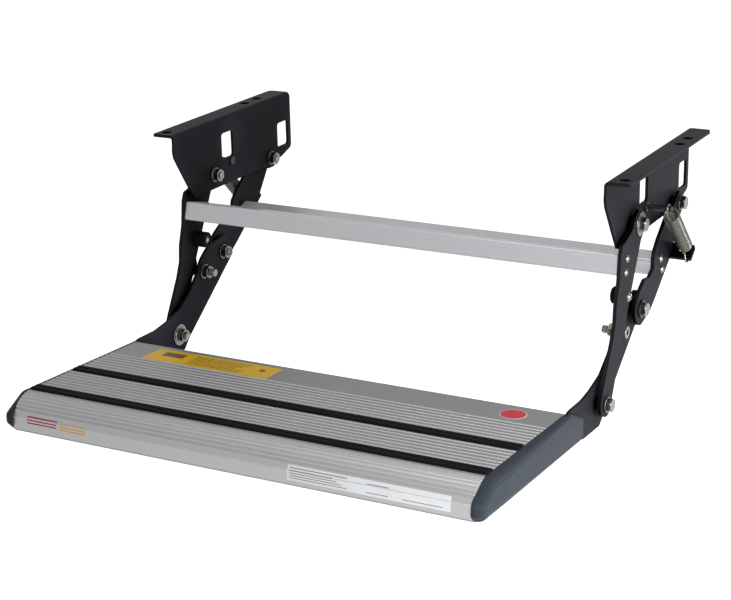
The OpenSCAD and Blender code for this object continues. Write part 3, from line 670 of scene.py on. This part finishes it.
# %% The tree that draws a wire along a line
def wire_tree():
    """Sweeps a round section along the base mesh's line; returns the tree and its inputs."""
    tree = bpy.data.node_groups.new("wire_along_line", "GeometryNodeTree")
    tree.interface.new_socket("Geometry", in_out="INPUT", socket_type="NodeSocketGeometry")
    radius = tree.interface.new_socket("Wire radius", in_out="INPUT",
                                       socket_type="NodeSocketFloat")
    radius.default_value = WIRE_R
    sides = tree.interface.new_socket("Wire sides", in_out="INPUT", socket_type="NodeSocketInt")
    sides.default_value = 10
    coat = tree.interface.new_socket("Finish", in_out="INPUT", socket_type="NodeSocketMaterial")
    tree.interface.new_socket("Geometry", in_out="OUTPUT", socket_type="NodeSocketGeometry")
    source = tree.nodes.new("NodeGroupInput")
    end = tree.nodes.new("NodeGroupOutput")
    to_curve = tree.nodes.new("GeometryNodeMeshToCurve")
    ring = tree.nodes.new("GeometryNodeCurvePrimitiveCircle")
    sweep = tree.nodes.new("GeometryNodeCurveToMesh")
    sweep.inputs["Fill Caps"].default_value = True
    real = tree.nodes.new("GeometryNodeRealizeInstances")
    smooth = tree.nodes.new("GeometryNodeSetShadeSmooth")
    painted = tree.nodes.new("GeometryNodeSetMaterial")
    link = tree.links.new
    link(source.outputs["Geometry"], to_curve.inputs["Mesh"])
    link(source.outputs["Wire sides"], ring.inputs["Resolution"])
    link(source.outputs["Wire radius"], ring.inputs["Radius"])
    link(to_curve.outputs["Curve"], sweep.inputs["Curve"])
    link(ring.outputs["Curve"], sweep.inputs["Profile Curve"])
    link(sweep.outputs["Mesh"], smooth.inputs["Geometry"])
    link(smooth.outputs["Geometry"], real.inputs["Geometry"])
    link(real.outputs["Geometry"], painted.inputs["Geometry"])
    link(source.outputs["Finish"], painted.inputs["Material"])
    link(painted.outputs["Geometry"], end.inputs["Geometry"])
    return tree, {"radius": radius.identifier, "sides": sides.identifier,
                  "coat": coat.identifier}


def grown(name, base_mesh, tree, values, material):
    """Runs a tree on a base mesh and returns the result as a plain mesh object."""
    seed = bpy.data.objects.new(name + "_seed", base_mesh)
    scene.collection.objects.link(seed)
    modifier = seed.modifiers.new("tree", "NODES")
    modifier.node_group = tree
    for key, value in values.items():
        modifier[key] = value
    bpy.context.view_layer.update()
    depsgraph = bpy.context.evaluated_depsgraph_get()
    mesh = bpy.data.meshes.new_from_object(seed.evaluated_get(depsgraph))
    bpy.data.objects.remove(seed)
    mesh.name = name
    if not mesh.materials:
        mesh.materials.append(material)
    piece = bpy.data.objects.new(name, mesh)
    scene.collection.objects.link(piece)
    return piece


# %% Both springs
WIRE_SIDES = 10

drawn_wire, wire_inputs = wire_tree()
for hand, sign in (("right", 1), ("left", -1)):
    points = []
    for x, y, z in spring_line(spring_length):
        at = pin + spring_axis * z + side * y
        points.append((sign * (SPRING_X + x), at.y, at.z))
    for x, along, out in HOOK_LINE:
        at = upper_rear + rear_reach * along + across * out
        points.append((sign * x, at.y, at.z))
    base = bpy.data.meshes.new("spring_line_" + hand)
    base.from_pydata(points, [(i, i + 1) for i in range(len(points) - 1)], [])
    spring = grown("wound_spring_" + hand, base, drawn_wire,
                   {wire_inputs["radius"]: DRAWN_WIRE_R, wire_inputs["sides"]: WIRE_SIDES,
                    wire_inputs["coat"]: spring_wire}, spring_wire)
    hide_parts("spring_" + hand)
    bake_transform(spring)

# %% [markdown]
# ## Threads on the bolts' ends
#
# In the CAD a bolt's end is a plain round bar. On the real step the last turns of the thread show
# past each nut. A thread is one ridge that winds round the bar, so Geometry Nodes wind one ridge
# from a spiral and a three-sided profile, set a copy on each bolt's end, and turn it by the
# direction that is stored on the point. The same tree serves short ends and long ones.

# %% The tree that winds threads
def thread_tree():
    """Winds one ridge and sets it on every point; returns the tree and its inputs."""
    tree = bpy.data.node_groups.new("thread_on_bolt_ends", "GeometryNodeTree")
    face = tree.interface
    face.new_socket("Geometry", in_out="INPUT", socket_type="NodeSocketGeometry")
    keys = {}
    for label, kind in (("Bar radius", "Float"), ("Pitch", "Float"), ("Turns", "Float"),
                        ("Ridge radius", "Float"), ("Finish", "Material")):
        socket = face.new_socket(label, in_out="INPUT", socket_type="NodeSocket" + kind)
        keys[label] = socket.identifier
    face.new_socket("Geometry", in_out="OUTPUT", socket_type="NodeSocketGeometry")
    source, end = tree.nodes.new("NodeGroupInput"), tree.nodes.new("NodeGroupOutput")
    link = tree.links.new
    spiral = add(tree, "GeometryNodeCurveSpiral", Resolution=20)
    height = add(tree, "ShaderNodeMath", operation="MULTIPLY")
    link(source.outputs["Turns"], height.inputs[0])
    link(source.outputs["Pitch"], height.inputs[1])
    link(source.outputs["Turns"], spiral.inputs["Rotations"])
    link(source.outputs["Bar radius"], spiral.inputs["Start Radius"])
    link(source.outputs["Bar radius"], spiral.inputs["End Radius"])
    link(height.outputs[0], spiral.inputs["Height"])
    profile = add(tree, "GeometryNodeCurvePrimitiveCircle", Resolution=3)
    link(source.outputs["Ridge radius"], profile.inputs["Radius"])
    ridge = tree.nodes.new("GeometryNodeCurveToMesh")
    ridge.inputs["Fill Caps"].default_value = True
    link(spiral.outputs["Curve"], ridge.inputs["Curve"])
    link(profile.outputs["Curve"], ridge.inputs["Profile Curve"])
    aim = add(tree, "GeometryNodeInputNamedAttribute", data_type="FLOAT_VECTOR", Name="aim")
    turn = add(tree, "FunctionNodeAlignRotationToVector", axis="Z")
    link(aim.outputs["Attribute"], turn.inputs["Vector"])
    copies = tree.nodes.new("GeometryNodeInstanceOnPoints")
    link(source.outputs["Geometry"], copies.inputs["Points"])
    link(ridge.outputs["Mesh"], copies.inputs["Instance"])
    link(turn.outputs["Rotation"], copies.inputs["Rotation"])
    real = tree.nodes.new("GeometryNodeRealizeInstances")
    coat = tree.nodes.new("GeometryNodeSetMaterial")
    link(copies.outputs["Instances"], real.inputs["Geometry"])
    link(real.outputs["Geometry"], coat.inputs["Geometry"])
    link(source.outputs["Finish"], coat.inputs["Material"])
    link(coat.outputs["Geometry"], end.inputs["Geometry"])
    return tree, keys


# %% Threads on every bolt's end
NUT_FACE_X = 0.2419
RIDGE_BASE_R = 0.004 - 0.00005
RIDGE_R = 0.00036
PITCH = 0.00125
PAST_NUT = 0.0004
CLEAR_OF_END = 0.0006
LOWER_REAR_ON_TREAD = (0.1783, 0.0617)

winder, thread_inputs = thread_tree()


def bolt_threads(name, pivots, node, body):
    """Thread ridges at the given pivots, from the nut's face to the end of that node's bars."""
    reach = NUT_FACE_X - min(abs(v.co.x) for v in nodes[node].data.vertices)
    base = bpy.data.meshes.new(name + "_ends")
    base.from_pydata([(sign * (NUT_FACE_X - PAST_NUT), p.y, p.z)
                      for p in pivots for sign in (1, -1)], [], [])
    aim = base.attributes.new("aim", "FLOAT_VECTOR", "POINT")
    for i, point in enumerate(aim.data):
        point.vector = (-1 if i % 2 == 0 else 1, 0, 0)
    turns = (reach - CLEAR_OF_END) / PITCH
    piece = grown(name, base, winder, {
        thread_inputs["Bar radius"]: RIDGE_BASE_R, thread_inputs["Pitch"]: PITCH,
        thread_inputs["Turns"]: turns, thread_inputs["Ridge radius"]: RIDGE_R,
        thread_inputs["Finish"]: zinc_plate}, zinc_plate)
    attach(piece, body)
    print(name, "turns", round(turns, 2), "faces", len(piece.data.polygons))


lower_rear = on_tread(0, *LOWER_REAR_ON_TREAD)
stop_low, stop_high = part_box("stop_nuts")
stop_at = (stop_low + stop_high) / 2
mount_body = joints["front_arm_pivot"]["parent"]
tread_body = joints["tread_pivot"]["child"]
bolt_threads("upper_pivot_threads", [upper_front, upper_rear], "upper_front_bolts", mount_body)
bolt_threads("lower_pivot_threads", [lower_front, lower_rear], "lower_front_bolts", tread_body)
bolt_threads("stop_bolt_threads", [stop_at], "stop_bolts", tread_body)

# %% [markdown]
# ## The coloured fields on the tread
#
# The real tread carries printed stickers and print. Here those places hold plain fields of the
# same sizes and colours, with plain bars, and no words or signs. A sticker is a thin sheet that
# follows the metal, also round the nose, so each field is laid row by row on a rule for the
# tread's surface, with a real thickness and closed edges.

# %% The tread's surface and a sheet laid on it
TREAD_DEPTH = 0.2135
NOSE_R = 0.028
NOSE_FOOT = math.radians(70)
NOSE_CENTRE_Y = 0.001 - TREAD_DEPTH + NOSE_R * math.sin(NOSE_FOOT)
FOOT_Z = NOSE_R * (math.cos(NOSE_FOOT) - 1)
FACE_STEP = 0.001
FACE_RAMP = 0.0005
SUNK = -0.0001


def top_surface(s):
    """The rear band: s runs from the rear edge towards the nose."""
    return Vector((0, -s, 0)), Vector((0, 0, 1))


def front_surface(s):
    """The nose and the front face: s is the depth below the top."""
    if -s < FOOT_Z:
        step = min(1, (FOOT_Z + s) / FACE_RAMP)
        return Vector((0, FACE_STEP - TREAD_DEPTH - FACE_STEP * step, -s)), Vector((0, -1, 0))
    rise = (NOSE_R - s) / NOSE_R
    across_nose = math.sqrt(1 - rise * rise)
    return (Vector((0, NOSE_CENTRE_Y - NOSE_R * across_nose, -s)),
            Vector((0, -across_nose, rise)))


def round_rect(x0, x1, s0, s1, corner=0.0, steps=5):
    """Rows (s, left, right) of a rectangle with round corners."""
    rows = []
    for i in range(steps + 1):
        a = math.pi / 2 * i / steps
        rows.append((s0 + corner * (1 - math.cos(a)), corner * (1 - math.sin(a))))
    count = max(2, int((s1 - s0) / 0.001))
    rows += [(s0 + corner + (s1 - s0 - 2 * corner) * i / count, 0) for i in range(1, count)]
    for i in range(steps + 1):
        a = math.pi / 2 * (1 - i / steps)
        rows.append((s1 - corner * (1 - math.cos(a)), corner * (1 - math.sin(a))))
    if corner == 0:
        rows = [(s0 + (s1 - s0) * i / count, 0) for i in range(count + 1)]
    return [(s, x0 + inset, x1 - inset) for s, inset in rows]


def disc(x, s, radius, steps=28):
    """Rows (s, left, right) of a round field."""
    angles = [math.pi * i / steps for i in range(1, steps)]
    return [(s - radius * math.cos(a), x - radius * math.sin(a), x + radius * math.sin(a))
            for a in angles]


def laid(name, shapes, surface, thickness, material):
    """Thin closed sheets with their rows on a surface, as one piece on the tread."""
    points, faces = [], []
    for rows in shapes:
        first = len(points)
        for s, left, right in rows:
            at, out = surface(s)
            for x, lift in ((left, thickness), (right, thickness), (right, SUNK), (left, SUNK)):
                spot = at + out * lift
                points.append(on_tread(x, spot.y, spot.z))
        for r in range(len(rows) - 1):
            a, b = first + 4 * r, first + 4 * r + 4
            faces += [(a + k, a + (k + 1) % 4, b + (k + 1) % 4, b + k) for k in range(4)]
        last = first + 4 * (len(rows) - 1)
        faces += [(first + 3, first + 2, first + 1, first), (last, last + 1, last + 2, last + 3)]
    mesh = bpy.data.meshes.new(name)
    mesh.from_pydata(points, [], faces)
    work = bmesh.new()
    work.from_mesh(mesh)
    bmesh.ops.recalc_face_normals(work, faces=work.faces)
    work.to_mesh(mesh)
    work.free()
    mesh.materials.append(material)
    piece = bpy.data.objects.new(name, mesh)
    scene.collection.objects.link(piece)
    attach(piece, tread_body)
    print(name, "faces", len(mesh.polygons))


# %% [markdown]
# The stickers are printed film, a little glossier than the metal under them, and the print on
# the front is thin ink. One recipe with different colours serves for all of them.

# %% Finishes of the fields
def film(name, colour, roughness=0.4):
    """Printed film or ink in one colour."""
    return finish(name, colour, grain,
                  {"Grain per metre": 900, "Cloud per metre": 40, "Roughness": roughness,
                   "Roughness spread": 0.05, "Tone spread": 0.1},
                  rounded=False, bump=0.05, Specular_IOR_Level=0.1)


amber_film = film("amber_film", (0.56, 0.33, 0.01))
brown_bars = film("brown_bars", (0.1, 0.055, 0.01))
red_film = film("red_film", (0.5, 0.012, 0.03))
pale_film = film("pale_film", (0.5, 0.51, 0.52))
grey_bars = film("grey_bars", (0.16, 0.16, 0.165))
red_print = film("red_print", (0.3, 0.03, 0.05))
amber_print = film("amber_print", (0.55, 0.3, 0.03))
print("films:", [m.name for m in (amber_film, brown_bars, red_film, pale_film, grey_bars)])

# %% [markdown]
# A wide amber sticker lies at the left of the rear band and a round red one at the right. The
# bars stand where the real sticker has its lines of print, and a second thin sheet carries them.

# %% The amber field and the red disc on the rear band
FILM_T = 0.00015
ON_FILM_T = FILM_T + 0.00005
DISC_PLACE = (0.2067, 0.0255)
LINE_TALL, LINE_STEP = 0.0014, 0.0048

laid("amber_field", [round_rect(-0.212, -0.060, 0.009, 0.0475, 0.002)],
     top_surface, FILM_T, amber_film)
bars = [round_rect(-0.198, -0.172, 0.016, 0.029, 0.001)]
for row in range(6):
    s = 0.0145 + LINE_STEP * row
    end_x = -0.092 - 0.004 * ((row * 5) % 4)
    bars.append(round_rect(-0.160, end_x, s, s + LINE_TALL))
bars.append(disc(-0.076, 0.0235, 0.0035, 16))
laid("amber_field_bars", bars, top_surface, ON_FILM_T, brown_bars)
laid("red_disc_rim", [disc(*DISC_PLACE, 0.0136)], top_surface, FILM_T, pale_film)
laid("red_disc", [disc(*DISC_PLACE, 0.0126)], top_surface, ON_FILM_T, red_film)

# %% [markdown]
# The front has red and amber print at its left end and a pale sticker at its right. Both follow
# the nose, so they are laid on the rule for that surface.

# %% The bars and the pale field on the front
INK_T, PALE_T, ON_PALE_T = 0.00006, 0.0001, 0.00014
INK_TALL, INK_STEP = 0.0013, 0.0030
FINE_TALL, FINE_STEP = 0.0008, 0.0023

for name, x0, x1, top, coat in (("front_red_bars", -0.233, -0.197, 0.0168, red_print),
                                ("front_amber_bars", -0.194, -0.163, 0.0178, amber_print)):
    laid(name, [round_rect(x0, x1, top + INK_STEP * k, top + INK_STEP * k + INK_TALL)
                for k in range(3)], front_surface, INK_T, coat)
laid("pale_field", [round_rect(0.064, 0.2295, 0.0145, 0.0285, 0.0015)],
     front_surface, PALE_T, pale_film)
rows_of_bars = []
for row in range(5):
    s = 0.0163 + FINE_STEP * row
    rows_of_bars.append(round_rect(0.0665, 0.126 - 0.005 * ((row * 3) % 4), s, s + FINE_TALL))
rows_of_bars.append(round_rect(0.146, 0.168, 0.0175, 0.0183))
rows_of_bars.append(round_rect(0.146, 0.168, 0.0252, 0.0260))
rows_of_bars.append(round_rect(0.182, 0.222, 0.0252, 0.0260))
laid("pale_field_bars", rows_of_bars, front_surface, ON_PALE_T, grey_bars)
